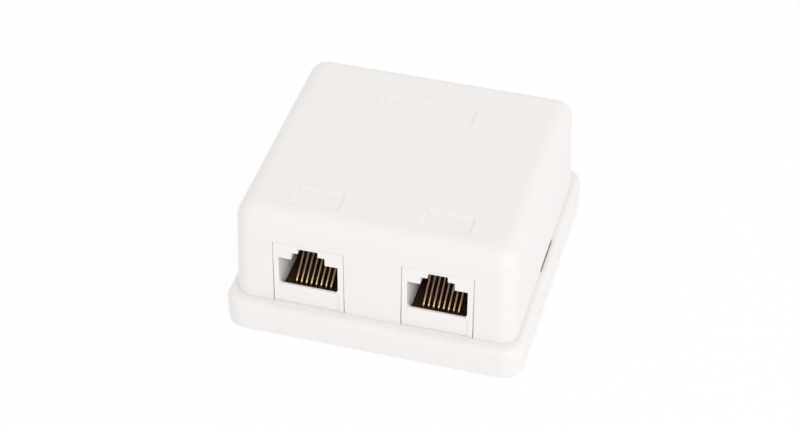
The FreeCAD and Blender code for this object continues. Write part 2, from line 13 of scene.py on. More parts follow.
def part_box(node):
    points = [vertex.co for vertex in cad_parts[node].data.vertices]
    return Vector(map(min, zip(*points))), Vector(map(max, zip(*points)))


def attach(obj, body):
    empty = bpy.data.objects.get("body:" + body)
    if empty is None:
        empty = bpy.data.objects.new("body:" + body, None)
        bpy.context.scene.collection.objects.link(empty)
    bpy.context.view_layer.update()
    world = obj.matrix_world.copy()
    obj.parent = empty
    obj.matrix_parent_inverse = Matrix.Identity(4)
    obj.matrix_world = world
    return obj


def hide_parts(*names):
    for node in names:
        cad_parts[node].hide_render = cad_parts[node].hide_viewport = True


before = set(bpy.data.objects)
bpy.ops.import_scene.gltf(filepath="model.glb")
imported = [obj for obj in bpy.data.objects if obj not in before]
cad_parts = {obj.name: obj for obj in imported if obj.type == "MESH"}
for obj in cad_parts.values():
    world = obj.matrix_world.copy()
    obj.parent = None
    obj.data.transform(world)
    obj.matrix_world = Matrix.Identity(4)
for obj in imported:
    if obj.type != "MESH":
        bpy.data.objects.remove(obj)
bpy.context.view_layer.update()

bl_info = {
    "name": "Surface mount jack box",
    "version": (1, 0, 0),
    "blender": (4, 5, 0),
    "location": "3D View > Sidebar > Jack box",
    "description": "Models and finishes a two-port surface mount jack box around its packed frame",
    "category": "Object",
}

MM = 0.001
OVERCUT = 1 * MM  # how far a cutting form runs past what it cuts
SAME = 0.01 * MM  # places this near each other count as one
DOUBLES = 0.001 * MM  # corners this near each other are merged while a form is made
SHARP = radians(35)  # sharper turns are rounded, and stay sharp in the shading
SIDES = (-1, 1)
PINS = 8
PIN_PITCH = 1.016 * MM

COVER_LOW, COVER_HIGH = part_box("cover")
HOUSING_LOW, HOUSING_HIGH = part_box("right_socket_housing")
BOARD_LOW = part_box("circuit_board")[0].z
BOARD_TOP = HOUSING_LOW.z  # the sockets stand on the board
PORT_X = (HOUSING_LOW.x + HOUSING_HIGH.x) / 2
PORTS = {"left": -PORT_X, "right": PORT_X}
COVER_MIDDLE = (COVER_LOW + COVER_HIGH) / 2
LEDGE = COVER_LOW.z


# ---- Sizes and colours that a user would change ----
def length(name, description, default):
    return FloatProperty(name=name, description=description, default=default, min=0, precision=5,
                         unit="LENGTH", subtype="DISTANCE")


def turn(name, description, degrees):
    return FloatProperty(name=name, description=description, default=radians(degrees),
                         subtype="ANGLE", unit="ROTATION")


def colour(name, description, default):
    return FloatVectorProperty(name=name, description=description, default=default, size=3,
                               min=0, max=1, subtype="COLOR")


class CoverSizes(bpy.types.PropertyGroup):
    edge: length("Edge radius", "Rounding of the upright corners and round the top", 3.6 * MM)
    wall: length("Wall", "Thickness of the walls and the roof", 1.9 * MM)
    draft: FloatProperty(name="Draft", description="Lean of the moulded sides, as a slope",
                         default=0.03)
    window_half: length("Window half width", "Half of a socket's opening at the ledge", 7.33 * MM)
    window_top_half: length("Window top half width", "Half of a socket's opening at its top",
                            7.21 * MM)
    window_top: length("Window top", "Height of the top of the windows", 21.8 * MM)
    recess_depth: length("Recess depth", "Depth of the label recesses", 0.3 * MM)
    recess_slant: length("Recess slant", "How far the label recesses' sides slant in", 0.34 * MM)
    rim: length("Rim", "Rounding of the edges round windows and recesses", 0.12 * MM)


class BaseSizes(bpy.types.PropertyGroup):
    corner: length("Corner radius", "Rounding of the base's upright corners", 4.3 * MM)
    ledge_edge: length("Ledge edge", "Rounding of the ledge's outer edge", 1.5 * MM)
    rim: length("Rim", "Rounding of the small edges", 0.12 * MM)


class SocketSizes(bpy.types.PropertyGroup):
    mouth_half: length("Mouth half width", "Half of the plug opening", 6 * MM)
    mouth_low: length("Mouth foot", "Height of the plug opening's lower edge", 11.65 * MM)
    mouth_high: length("Mouth top", "Height of the plug opening's upper edge", 18.3 * MM)
    panel_half: length("Panel half width", "Half of the shallow panel under the mouth", 6.2 * MM)
    corner: length("Corner", "Rounding of the two top side edges", 0.4 * MM)
    face_edge: length("Face edge", "Rounding round the face", 0.22 * MM)
    rim: length("Rim", "Rounding of the small edges", 0.07 * MM)


class ContactSizes(bpy.types.PropertyGroup):
    width: length("Width", "Diameter of a contact wire", 0.42 * MM)
    bend: length("Bend", "Radius of the bend behind the mouth", 1 * MM)
    rise: turn("Rise", "Slope of the free legs", 34)


class Finishes(bpy.types.PropertyGroup):
    housing: colour("Housing", "Base and cover", (0.865, 0.835, 0.815))
    socket: colour("Socket", "Socket bodies", (0.88, 0.85, 0.828))
    insulator: colour("Insulator", "Inserts that hold the contacts", (0.048, 0.020, 0.012))
    # The contacts' gold is paled as a painted highlight on the front bends, and the wire colour
    # behind them is darkened as painted shade.
    gold_and_highlight: colour("Contacts", "Gold on the contact wires' front bends", (1.0, 0.76, 0.46))
    bronze_and_shade: colour("Wire", "Bare spring wire behind the gold", (0.76, 0.57, 0.42))
    board: colour("Board", "Solder resist on the circuit board", (0.015, 0.115, 0.045))
    core: colour("Core", "Cut edge of the circuit board", (0.42, 0.40, 0.20))
    track: colour("Tracks", "Copper tracks under the solder resist", (0.030, 0.200, 0.070))
    block: colour("Blocks", "Punch-down blocks", (0.80, 0.79, 0.75))


class StageSetup(bpy.types.PropertyGroup):
    azimuth: turn("Azimuth", "Camera's turn round the box", 15.94)
    elevation: turn("Elevation", "Camera's height angle", 40.32)
    roll: turn("Roll", "Camera's roll", -0.13)
    distance: length("Distance", "Camera's distance from what it looks at", 0.4195)
    aim: FloatVectorProperty(name="Aim", description="Point that the camera looks at", size=3,
                             default=(-0.00353, 0.00505, 0.00687), subtype="XYZ", unit="LENGTH")
    lens: FloatProperty(name="Lens", description="Focal length on a 36 mm sensor", default=90.75,
                        subtype="DISTANCE_CAMERA", unit="CAMERA")


# ---- Modelling helpers ----
def deselect_all():
    if bpy.context.mode != "OBJECT":
        bpy.ops.object.mode_set(mode="OBJECT")
    bpy.ops.object.select_all(action="DESELECT")


def activate(piece):
    deselect_all()
    piece.select_set(True)
    bpy.context.view_layer.objects.active = piece


def named(name):
    """The new primitive, under its name and with its place in its mesh."""
    piece = bpy.context.active_object
    piece.name = name
    piece.data.name = name
    bpy.ops.object.transform_apply(location=True, rotation=True, scale=True)
    return piece


def add_block(name, low, high):
    deselect_all()
    low, high = Vector(low), Vector(high)
    bpy.ops.mesh.primitive_cube_add(size=1, location=(low + high) / 2, scale=high - low)
    return named(name)


def block_across(name, half, y0, y1, z0, z1):
    """Block with its middle at x = 0."""
    return add_block(name, (-half, y0, z0), (half, y1, z1))


def block_about(name, x, y, half_x, half_y, z0, z1):
    """Block with its middle at x and y."""
    return add_block(name, (x - half_x, y - half_y, z0), (x + half_x, y + half_y, z1))


def add_post(name, centre, radius, height, rotation=(0, 0, 0), segments=48):
    """A round post; its centre is the middle of its height."""
    deselect_all()
    bpy.ops.mesh.primitive_cylinder_add(vertices=segments, radius=radius, depth=height,
                                        location=centre, rotation=rotation)
    return named(name)


def add_profile(name, outline, axis, start, end):
    """Closed outline, drawn corner by corner across an axis and extruded along that axis."""
    place = {"X": lambda u, v: Vector((start, u, v)),
             "Y": lambda u, v: Vector((u, start, v)),
             "Z": lambda u, v: Vector((u, v, start))}[axis]
    corners = [place(u, v) for u, v in outline]
    depth = Vector([end - start if letter == axis else 0 for letter in "XYZ"])
    deselect_all()
    bpy.ops.mesh.primitive_plane_add(size=MM, location=corners[0])
    piece = named(name)
    bpy.ops.object.mode_set(mode="EDIT")
    bpy.ops.mesh.select_mode(type="VERT")
    bpy.ops.mesh.select_all(action="SELECT")
    bpy.ops.mesh.merge(type="CENTER")
    for here, there in zip(corners, corners[1:] + corners[:1]):
        bpy.ops.mesh.extrude_vertices_move(TRANSFORM_OT_translate={"value": there - here})
    bpy.ops.mesh.select_all(action="SELECT")
    bpy.ops.mesh.remove_doubles(threshold=DOUBLES)
    bpy.ops.mesh.edge_face_add()
    bpy.ops.mesh.extrude_region_move(TRANSFORM_OT_translate={"value": depth})
    bpy.ops.mesh.select_all(action="SELECT")
    bpy.ops.mesh.normals_make_consistent(inside=False)
    done()
    return piece


def pick(piece, kind, test):
    """Select the faces, edges or corners that pass the test, and stay in edit mode."""
    activate(piece)
    bpy.ops.object.mode_set(mode="EDIT")
    bpy.ops.mesh.select_mode(type=kind)
    bpy.ops.mesh.select_all(action="DESELECT")
    form = bmesh.from_edit_mesh(piece.data)
    for item in {"VERT": form.verts, "EDGE": form.edges, "FACE": form.faces}[kind]:
        if test(item):
            item.select_set(True)
    form.select_flush_mode()
    bmesh.update_edit_mesh(piece.data)


def done():
    bpy.ops.object.mode_set(mode="OBJECT")


def shift(piece, test, offset):
    """Move the corners that pass the test."""
    pick(piece, "VERT", test)
    bpy.ops.transform.translate(value=offset)
    done()


def resize(piece, kind, test, factors, centre):
    """Scale what passes the test about a centre."""
    pick(piece, kind, test)
    bpy.ops.transform.resize(value=factors, center_override=centre)
    done()


def round_edges(piece, radius, segments, test):
    pick(piece, "EDGE", test)
    bpy.ops.mesh.bevel(offset=radius, segments=segments, affect="EDGES", profile=0.5)
    done()


def slant_edges(piece, width, test):
    round_edges(piece, width, 1, test)


def near(a, b):
    return abs(a - b) < SAME


def facing_up(face):
    return face.normal.z > 0.9


def facing_down(face):
    return face.normal.z < -0.9


def middle(edge):
    return (edge.verts[0].co + edge.verts[1].co) / 2


def upright(edge):
    run = edge.verts[1].co - edge.verts[0].co
    return abs(run.z) > 2 * (abs(run.x) + abs(run.y))


def level_at(z):
    return lambda edge: near(edge.verts[0].co.z, z) and near(edge.verts[1].co.z, z)


def apply_modifier(piece, kind, **settings):
    activate(piece)
    modifier = piece.modifiers.new(kind.lower(), kind)
    for key, value in settings.items():
        setattr(modifier, key, value)
    bpy.ops.object.modifier_apply(modifier=modifier.name)


def combine(piece, others, operation):
    """Cut the other forms from the piece, or join them to it, and remove them."""
    for other in others:
        apply_modifier(piece, "BOOLEAN", object=other, operation=operation, solver="EXACT")
        bpy.data.objects.remove(other)


def cut(piece, *tools):
    combine(piece, tools, "DIFFERENCE")


def join(piece, *additions):
    combine(piece, additions, "UNION")


def bevelled(piece, width):
    """Small rounds on the sharp edges."""
    apply_modifier(piece, "WELD", merge_threshold=SAME)
    apply_modifier(piece, "BEVEL", width=width, segments=2, limit_method="ANGLE",
                   angle_limit=SHARP, miter_outer="MITER_ARC", use_clamp_overlap=True)


def smoothed(piece, angle=SHARP):
    """Smooth shading that leaves the flat faces flat."""
    activate(piece)
    bpy.ops.object.shade_smooth_by_angle(angle=angle)
    apply_modifier(piece, "WEIGHTED_NORMAL", weight=80, keep_sharp=True)


def soften(piece, width):
    bevelled(piece, width)
    smoothed(piece)


def copied(piece, name, offset):
    """A copy with its own mesh, moved inside it."""
    copy = piece.copy()
    copy.data = piece.data.copy()
    copy.name = name
    copy.data.name = name
    copy.data.transform(Matrix.Translation(Vector(offset)))
    bpy.context.scene.collection.objects.link(copy)
    return copy


def paint(piece, material):
    piece.data.materials.clear()
    piece.data.materials.append(material)


def dress(piece, material, body, node):
    """Give a finished piece its material and body, and hide the CAD node that it stands for."""
    paint(piece, material)
    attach(piece, body)
    if node:
        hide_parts(node)


# ---- Materials ----
# A noise's scale counts per metre: at 1000 its spots are about a millimetre across.
NOISE_LOW, NOISE_HIGH = 0.3, 0.7  # where most values of a noise lie
MIX_A, MIX_B, MIX_RESULT = 6, 7, 2  # the colour sockets of a Mix node
PAD_TIN = (0.70, 0.69, 0.66)
BLADE_TIN = (0.60, 0.59, 0.56)
SCREW_STEEL = (0.52, 0.52, 0.54)
LACQUER = 0.06 * MM  # thickness of the green lacquer on both sides of the board
GOLD_AND_HIGHLIGHT_EDGE = (-23.2 * MM, -22 * MM)  # where the contacts' pale gold, with its painted highlight, fades into the darker wire, along Y


def set_up(node, **settings):
    """Give a shader node its settings, each an input or else a property of it."""
    for key, value in settings.items():
        if key in node.inputs:
            node.inputs[key].default_value = value
        else:
            setattr(node, key, value)
    return node


def new_node(tree, kind, **settings):
    return set_up(tree.nodes.new("ShaderNode" + kind), **settings)


class Finish:
    """A procedural material on Object coordinates, built up node by node."""

    def __init__(self, name, base, roughness, metallic=0.0, specular=0.5):
        self.material = bpy.data.materials.new(name)
        self.material.use_nodes = True
        self.tree = self.material.node_tree
        self.shader = set_up(self.tree.nodes["Principled BSDF"], Roughness=roughness,
                             Metallic=metallic, **{"Base Color": (*base, 1),
                                                   "Specular IOR Level": specular})
        self.place = self.tree.nodes.new("ShaderNodeTexCoord").outputs["Object"]

    def node(self, kind, **settings):
        return new_node(self.tree, kind, **settings)

    def link(self, output, target):
        self.tree.links.new(output, target)

    def stretched(self, scale):
        """The Object coordinates, scaled by a different amount along each axis."""
        mapping = self.node("Mapping", Scale=scale)
        self.link(self.place, mapping.inputs["Vector"])
        return mapping.outputs["Vector"]

    def noise(self, scale, detail=2.0, place=None):
        noise = self.node("TexNoise", Scale=scale, Detail=detail)
        self.link(place or self.place, noise.inputs["Vector"])
        return noise.outputs["Fac"]

    def spread(self, factor, low, high):
        """Map the middle of a noise to the range low to high."""
        span = self.node("MapRange", **{"From Min": NOISE_LOW, "From Max": NOISE_HIGH,
                                        "To Min": low, "To Max": high})
        self.link(factor, span.inputs["Value"])
        return span.outputs["Result"]

    def ramp_along(self, axis, start, end):
        """0 before start and 1 after end, along one of the Object coordinates."""
        apart = self.node("SeparateXYZ")
        self.link(self.place, apart.inputs["Vector"])
        ramp = self.node("MapRange", interpolation_type="SMOOTHSTEP",
                         **{"From Min": start, "From Max": end})
        self.link(apart.outputs[axis], ramp.inputs["Value"])
        return ramp.outputs["Result"]

    def mix(self, factor, first, second):
        """Blend two colours; each is an output or a plain colour."""
        mix = self.node("Mix", data_type="RGBA")
        self.link(factor, mix.inputs["Factor"])
        for socket, value in ((mix.inputs[MIX_A], first), (mix.inputs[MIX_B], second)):
            if isinstance(value, bpy.types.NodeSocket):
                self.link(value, socket)
            else:
                socket.default_value = (*value, 1)
        return mix.outputs[MIX_RESULT]

    def shades(self, factor, base, darkest, lightest):
        """Blend between a darker and a lighter shade of a colour."""
        return self.mix(factor, shaded(base, darkest), shaded(base, lightest))

    def bump(self, height, strength, distance):
        bump = self.node("Bump", Strength=strength, Distance=distance)
        self.link(height, bump.inputs["Height"])
        self.link(bump.outputs["Normal"], self.shader.inputs["Normal"])

    def to(self, output, name):
        self.link(output, self.shader.inputs[name])


def shaded(base, factor):
    return tuple(min(1.0, value * factor) for value in base)


def moulded_plastic(name, base, roughness, grain, grain_depth, specular=0.5):
    """Moulded plastic: a fine eroded texture, soft clouds in the colour and an uneven gloss."""
    finish = Finish(name, base, roughness, specular=specular)
    clouds = finish.noise(scale=90, detail=3)
    finish.to(finish.shades(clouds, base, darkest=0.992, lightest=1.008), "Base Color")
    gloss = finish.spread(finish.noise(scale=900), low=roughness - 0.04, high=roughness + 0.05)
    finish.to(gloss, "Roughness")
    finish.bump(finish.noise(scale=grain, detail=1), strength=0.35, distance=grain_depth)
    return finish.material


def housing_plastic(name, base):
    return moulded_plastic(name, base, roughness=0.42, grain=5200, grain_depth=0.02 * MM)


def contact_gold(gold_and_highlight, bronze_and_shade):
    """Spring wire: gold where a plug touches it, paled there as a painted highlight on the bends,
    and bare wire further back, darkened as painted shade, with fine drawing lines.
    """
    finish = Finish("contact_gold", gold_and_highlight, roughness=0.2, metallic=1.0)
    patches = finish.noise(scale=700)
    plating_and_highlight = finish.shades(patches, gold_and_highlight, darkest=0.9, lightest=1.06)
    bare_wire_and_shade = finish.shades(patches, bronze_and_shade, darkest=0.8, lightest=1.15)
    # Painted highlight and shade along Y: pale gold on the front bends, darker wire behind them.
    behind = finish.ramp_along("Y", *GOLD_AND_HIGHLIGHT_EDGE)
    finish.to(finish.mix(behind, plating_and_highlight, bare_wire_and_shade), "Base Color")
    lines = finish.noise(scale=1.0, place=finish.stretched((16000, 900, 900)))
    finish.to(finish.spread(lines, low=0.10, high=0.20), "Roughness")
    finish.bump(lines, strength=0.2, distance=0.004 * MM)
    return finish.material


def plated_metal(name, base, roughness):
    """Plated sheet or turned metal with a faint grain."""
    finish = Finish(name, base, roughness, metallic=1.0)
    finish.to(finish.shades(finish.noise(scale=1200), base, darkest=0.88, lightest=1.08),
              "Base Color")
    gloss = finish.spread(finish.noise(scale=2500), low=roughness - 0.08, high=roughness + 0.1)
    finish.to(gloss, "Roughness")
    finish.bump(finish.noise(scale=5000, detail=1), strength=0.2, distance=0.004 * MM)
    return finish.material


def solder_resist(base, core):
    """Green lacquer over the board's glass weave, and the pale cut edge of its core between."""
    finish = Finish("solder_resist", base, roughness=0.3)
    weave = finish.node("TexWave", Scale=700.0, Distortion=0.4)
    finish.link(finish.place, weave.inputs["Vector"])
    mottled = finish.shades(finish.noise(scale=300, detail=4), base, darkest=0.85, lightest=1.2)
    layers = finish.shades(finish.noise(scale=2200), core, darkest=0.85, lightest=1.1)
    under = finish.ramp_along("Z", BOARD_TOP - LACQUER, BOARD_TOP - LACQUER / 2)
    over = finish.ramp_along("Z", BOARD_LOW + LACQUER / 2, BOARD_LOW + LACQUER)
    finish.to(finish.mix(over, mottled, finish.mix(under, layers, mottled)), "Base Color")
    finish.bump(weave.outputs["Fac"], strength=0.1, distance=0.01 * MM)
    return finish.material


# ---- Cover ----
PORT_RECESS = (10 * MM, 5.4 * MM, -19.7 * MM)  # width, depth and place along Y
REAR_RECESS = (20 * MM, 5.1 * MM, 13.35 * MM)
RECESS_CORNER = 0.6 * MM
COVER_STEPS, RECESS_STEPS, ARCH_STEPS = 14, 5, 64  # how finely the roundings are divided
SEAM = 0.03 * MM  # the hairline between the cover's foot and the ledge
PLAY = 0.03 * MM  # how far the windows stand off the sockets' middles
PRY_SLOT_HALF, PRY_SLOT_HEIGHT = 5.05 * MM, 0.6 * MM
KNOCKOUT_HALF, KNOCKOUT_TOP, KNOCKOUT_WEB = 4.5 * MM, 15 * MM, 0.7 * MM
GROOVE_WIDTH, GROOVE_DEPTH = 0.5 * MM, 0.3 * MM
CATCH_IN, CATCH_LOW, CATCH_NOSE, CATCH_TOP = 25.85 * MM, 8.6 * MM, 9.2 * MM, 10.25 * MM
CATCH_HALF = 3.6 * MM
HOLD_RIB_HALF, HOLD_RIB_T, HOLD_RIB_LOW = 4 * MM, 1.2 * MM, 21.95 * MM
HOLD_RIB_Y = (-21 * MM, -14 * MM)


def leaning_shell(sizes):
    """Hollow cover with leaning sides, rounded corners and an even wall."""
    shell = add_block("cover_moulding", COVER_LOW, COVER_HIGH)
    lean = sizes.draft * (COVER_HIGH.z - COVER_LOW.z)
    spread = COVER_HIGH - COVER_LOW
    resize(shell, "FACE", facing_up, (1 - 2 * lean / spread.x, 1 - 2 * lean / spread.y, 1),
           COVER_MIDDLE)
    top = level_at(COVER_HIGH.z)
    round_edges(shell, sizes.edge, COVER_STEPS, lambda edge: upright(edge) or top(edge))
    pick(shell, "FACE", facing_down)
    bpy.ops.mesh.delete(type="FACE")
    done()
    apply_modifier(shell, "SOLIDIFY", thickness=sizes.wall, offset=-1, use_even_offset=True)
    resize(shell, "VERT", lambda corner: corner.co.z < LEDGE + SAME, (1, 1, 0),
           (0, 0, LEDGE + SEAM))
    return shell


def label_recess(place, sizes):
    """Cutter for a shallow recess with slanted sides."""
    (width, reach, y), x = place
    floor = COVER_HIGH.z - sizes.recess_depth
    tool = block_about("recess", x, y, width / 2, reach / 2, floor,
                       COVER_HIGH.z + sizes.recess_depth)
    round_edges(tool, RECESS_CORNER, RECESS_STEPS, upright)
    # The foot shrinks and the head grows alike, so at the roof's height the width stays as given.
    slant_x, slant_y = 2 * sizes.recess_slant / width, 2 * sizes.recess_slant / reach
    resize(tool, "VERT", lambda corner: corner.co.z < COVER_HIGH.z, (1 - slant_x, 1 - slant_y, 1),
           (x, y, floor))
    resize(tool, "VERT", lambda corner: corner.co.z > COVER_HIGH.z, (1 + slant_x, 1 + slant_y, 1),
           (x, y, floor))
    return tool


def window(x, sizes):
    """Cutter for a socket's opening; its sides start below the ledge and narrow upwards."""
    foot, head = LEDGE - OVERCUT, sizes.window_top
    outline = [(x - sizes.window_half, foot), (x + sizes.window_half, foot),
               (x + sizes.window_top_half, head), (x - sizes.window_top_half, head)]
    return add_profile("window", outline, "Y", COVER_LOW.y - OVERCUT,
                       COVER_LOW.y + sizes.wall + OVERCUT)


def arch(half, top, y0, y1):
    """Upright arch with a half-round head, open downwards."""
    spring = top - half
    body = block_across("arch", half, y0, y1, LEDGE - OVERCUT, spring)
    head = add_post("arch_head", (0, (y0 + y1) / 2, spring), half, y1 - y0,
                    rotation=(radians(90), 0, 0), segments=ARCH_STEPS)
    join(body, head)
    return body


def cut_knockout(shell, sizes):
    """Thinned arch in the rear wall, ringed by a shallow groove on the outside."""
    outside = COVER_HIGH.y - sizes.draft * (KNOCKOUT_TOP - LEDGE)
    inside = COVER_HIGH.y - sizes.wall - OVERCUT
    cut(shell, arch(KNOCKOUT_HALF, KNOCKOUT_TOP, inside, outside - KNOCKOUT_WEB))
    groove = arch(KNOCKOUT_HALF + GROOVE_WIDTH, KNOCKOUT_TOP + GROOVE_WIDTH, outside - GROOVE_DEPTH,
                  COVER_HIGH.y + OVERCUT)
    cut(groove, arch(KNOCKOUT_HALF, KNOCKOUT_TOP, inside, COVER_HIGH.y + 2 * OVERCUT))
    cut(shell, groove)


def catch_rib(side, sizes):
    """Rib inside a side wall that the base's hook holds down, slanted below."""
    wall = side * (COVER_HIGH.x - sizes.wall / 2)
    nose = side * CATCH_IN
    outline = [(wall, CATCH_LOW), (wall, CATCH_TOP), (nose, CATCH_TOP), (nose, CATCH_NOSE),
               (nose + side * (CATCH_NOSE - CATCH_LOW), CATCH_LOW)]
    return add_profile("catch_rib", outline, "Y", -CATCH_HALF, CATCH_HALF)


def hold_rib(x, y, sizes):
    """Rib under the roof that holds a socket down."""
    return block_about("hold_rib", x, y, HOLD_RIB_HALF, HOLD_RIB_T / 2, HOLD_RIB_LOW,
                       COVER_HIGH.z - sizes.wall / 2)


def pry_slot(sizes):
    """Cutter for the slot at the foot of the right wall."""
    inside = COVER_HIGH.x - sizes.wall - OVERCUT
    return add_block("pry_slot", (inside, -PRY_SLOT_HALF, LEDGE - OVERCUT),
                     (COVER_HIGH.x + OVERCUT, PRY_SLOT_HALF, LEDGE + PRY_SLOT_HEIGHT))


class JACKBOX_OT_cover(bpy.types.Operator):
    """Model the cover: leaning shell, socket windows, label recesses, pry slot and knock-out"""
    bl_idname = "jackbox.cover"
    bl_label = "Cover"

    def execute(self, context):
        sizes = context.scene.jackbox_cover
        shell = leaning_shell(sizes)
        join(shell, *[catch_rib(side, sizes) for side in SIDES])
        join(shell, *[hold_rib(x, y, sizes) for x in PORTS.values() for y in HOLD_RIB_Y])
        cut(shell, *[window(x + PLAY, sizes) for x in PORTS.values()])
        recesses = [(PORT_RECESS, x) for x in PORTS.values()] + [(REAR_RECESS, 0)]
        cut(shell, *[label_recess(place, sizes) for place in recesses])
        cut(shell, pry_slot(sizes))
        cut_knockout(shell, sizes)
        soften(shell, sizes.rim)
        white = housing_plastic("cover_white", context.scene.jackbox_finishes.housing)
        dress(shell, white, "cover_body", "cover")
        return {"FINISHED"}


# ---- Base ----
WELL_HALF, WELL_FRONT, WELL_REAR, WELL_CORNER = 27.2 * MM, -25.9 * MM, 25.4 * MM, 2.4 * MM
CORNER_STEPS, LEDGE_STEPS, WELL_STEPS, SLOT_STEPS = 18, 9, 8, 16
FOOT_SLANT = 0.4 * MM
FLOOR_TOP = 2 * MM
ROOT = 1 * MM  # how deep an added rib or post is sunk into what it stands on
ROOT_Z = FLOOR_TOP - ROOT
TONGUE_HALF, TONGUE_IN, TONGUE_OUT, TONGUE_TOP = 4 * MM, 24.3 * MM, 25.6 * MM, 12.9 * MM
HOOK_OUT, HOOK_LOW, HOOK_NOSE, TONGUE_LEAD = 26.4 * MM, 10.4 * MM, 10.9 * MM, 0.3 * MM
RIB_T, RIB_DEPTH, RIB_TOP, RIB_LEAD, RIB_GAP = 1.2 * MM, 1.2 * MM, 9.8 * MM, 0.4 * MM, 0.25 * MM
SIDE_RIB_Y = (-16 * MM, 13 * MM)
REAR_RIB_X = (-19 * MM, 19 * MM)
SCREW_Y = (-15.5 * MM, 2.5 * MM)
SCREW_R, SCREW_BLIND, POST_R = 1.05 * MM, 0.8 * MM, 2.4 * MM
REST_IN, REST_Y, REST_T = 20.5 * MM, (-21.5 * MM, 6.5 * MM), 1.6 * MM
TIE_X, TIE_Y, TIE_TOP = 6.5 * MM, 12.3 * MM, 5.6 * MM
TIE_HALF_X, TIE_HALF_Y, TIE_SLOT_HALF, TIE_SLOT_TOP = 2.2 * MM, 2.7 * MM, 1.5 * MM, 3.8 * MM
WALL_SLOT_X, WALL_SLOT_Y, WALL_SLOT_HALF, WALL_SLOT_R = 20 * MM, 17 * MM, 4 * MM, 2.1 * MM
CABLE_SLOT_Y, CABLE_SLOT_HALF, CABLE_SLOT_R = 19.3 * MM, 11 * MM, 4 * MM
ALL_ROUND = 0.999  # the full radius would leave the two rounds no edge between them
PRY_POCKET_WALL = 1.66 * MM  # its rim stays clear of the rounding of the ledge


def base_tray(sizes):
    """Rounded plinth with its ledge, hollowed from above."""
    low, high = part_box("base")
    tray = add_block("base_moulding", low, (high.x, high.y, LEDGE))
    round_edges(tray, sizes.corner, CORNER_STEPS, upright)
    round_edges(tray, sizes.ledge_edge, LEDGE_STEPS, level_at(LEDGE))
    slant_edges(tray, FOOT_SLANT, level_at(0))
    well = add_block("well", (-WELL_HALF, WELL_FRONT, FLOOR_TOP),
                     (WELL_HALF, WELL_REAR, LEDGE + OVERCUT))
    round_edges(well, WELL_CORNER, WELL_STEPS, upright)
    cut(tray, well)
    return tray


def snap_tongue(side):
    """Upright tongue with an outward hook; side is -1 on the left and 1 on the right."""
    outline = [(TONGUE_IN, ROOT_Z), (TONGUE_OUT, ROOT_Z), (TONGUE_OUT, HOOK_LOW),
               (HOOK_OUT, HOOK_LOW), (HOOK_OUT, HOOK_NOSE),
               (TONGUE_OUT - TONGUE_LEAD, TONGUE_TOP), (TONGUE_IN, TONGUE_TOP)]
    return add_profile("snap_tongue", [(side * x, z) for x, z in outline], "Y",
                       -TONGUE_HALF, TONGUE_HALF)


def locating_rib(well, wall_face, out, axis, place):
    """Rib that grows from the well's wall and stands just inside the cover's wall."""
    face = wall_face - out * RIB_GAP
    root, back = well + out * ROOT, face - out * RIB_DEPTH
    outline = [(root, ROOT_Z), (root, LEDGE - ROOT), (face, LEDGE), (face, RIB_TOP - RIB_LEAD),
               (face - out * RIB_LEAD, RIB_TOP), (back, RIB_TOP), (back, ROOT_Z)]
    return add_profile("locating_rib", outline, axis, place - RIB_T / 2, place + RIB_T / 2)


def locating_ribs(cover):
    inset = cover.wall + cover.draft * (RIB_TOP - LEDGE)
    ribs = [locating_rib(side * WELL_HALF, side * (COVER_HIGH.x - inset), side, "Y", y)
            for side in SIDES for y in SIDE_RIB_Y]
    ribs += [locating_rib(WELL_REAR, COVER_HIGH.y - inset, 1, "X", x) for x in REAR_RIB_X]
    ribs.append(locating_rib(WELL_FRONT, COVER_LOW.y + inset, -1, "X", 0))
    return ribs


def post_between(name, x, y, z0, z1, radius):
    return add_post(name, (x, y, (z0 + z1) / 2), radius, z1 - z0)


def board_supports():
    """Two posts for the screws, and four ribs from the side walls under the board's corners."""
    supports = [post_between("screw_post", 0, y, ROOT_Z, BOARD_LOW, POST_R) for y in SCREW_Y]
    for side in SIDES:
        x0, x1 = sorted((side * REST_IN, side * (WELL_HALF + ROOT)))
        supports += [add_block("board_rest", (x0, y - REST_T / 2, ROOT_Z),
                               (x1, y + REST_T / 2, BOARD_LOW)) for y in REST_Y]
    return supports


def tie_anchors():
    return [block_about("tie_anchor", side * TIE_X, TIE_Y, TIE_HALF_X, TIE_HALF_Y, ROOT_Z,
                        TIE_TOP) for side in SIDES]


def floor_slot(x, y, half_length, radius):
    """Cutter for a straight slot with round ends, along X, through the floor."""
    slot = block_about("slot", x, y, half_length, radius, -OVERCUT, FLOOR_TOP + OVERCUT)
    round_edges(slot, radius * ALL_ROUND, SLOT_STEPS, upright)
    return slot


def base_cutters():
    """Screw bores, wall-screw slots, tie slots, cable entry, and the pocket under the pry slot."""
    cutters = [post_between("screw_bore", 0, y, SCREW_BLIND, BOARD_LOW + OVERCUT, SCREW_R)
               for y in SCREW_Y]
    for side in SIDES:
        cutters += [floor_slot(side * WALL_SLOT_X, WALL_SLOT_Y, WALL_SLOT_HALF, WALL_SLOT_R),
                    block_about("tie_slot", side * TIE_X, TIE_Y, TIE_HALF_X + OVERCUT,
                                TIE_SLOT_HALF, -OVERCUT, TIE_SLOT_TOP)]
    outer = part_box("base")[1].x - PRY_POCKET_WALL
    return cutters + [floor_slot(0, CABLE_SLOT_Y, CABLE_SLOT_HALF, CABLE_SLOT_R),
                      add_block("pry_pocket", (WELL_HALF - OVERCUT, -PRY_SLOT_HALF, FLOOR_TOP),
                                (outer, PRY_SLOT_HALF, LEDGE + OVERCUT))]


class JACKBOX_OT_base(bpy.types.Operator):
    """Model the base: rounded plinth, snap tongues, ribs, posts and the openings in its floor"""
    bl_idname = "jackbox.base"
    bl_label = "Base"

    def execute(self, context):
        scene = context.scene
        base = base_tray(scene.jackbox_base)
        join(base, *[snap_tongue(side) for side in SIDES], *locating_ribs(scene.jackbox_cover),
             *board_supports(), *tie_anchors())
        cut(base, *base_cutters())
        soften(base, scene.jackbox_base.rim)
        white = housing_plastic("base_white", scene.jackbox_finishes.housing)
        dress(base, white, "base_body", "base")
        return {"FINISHED"}


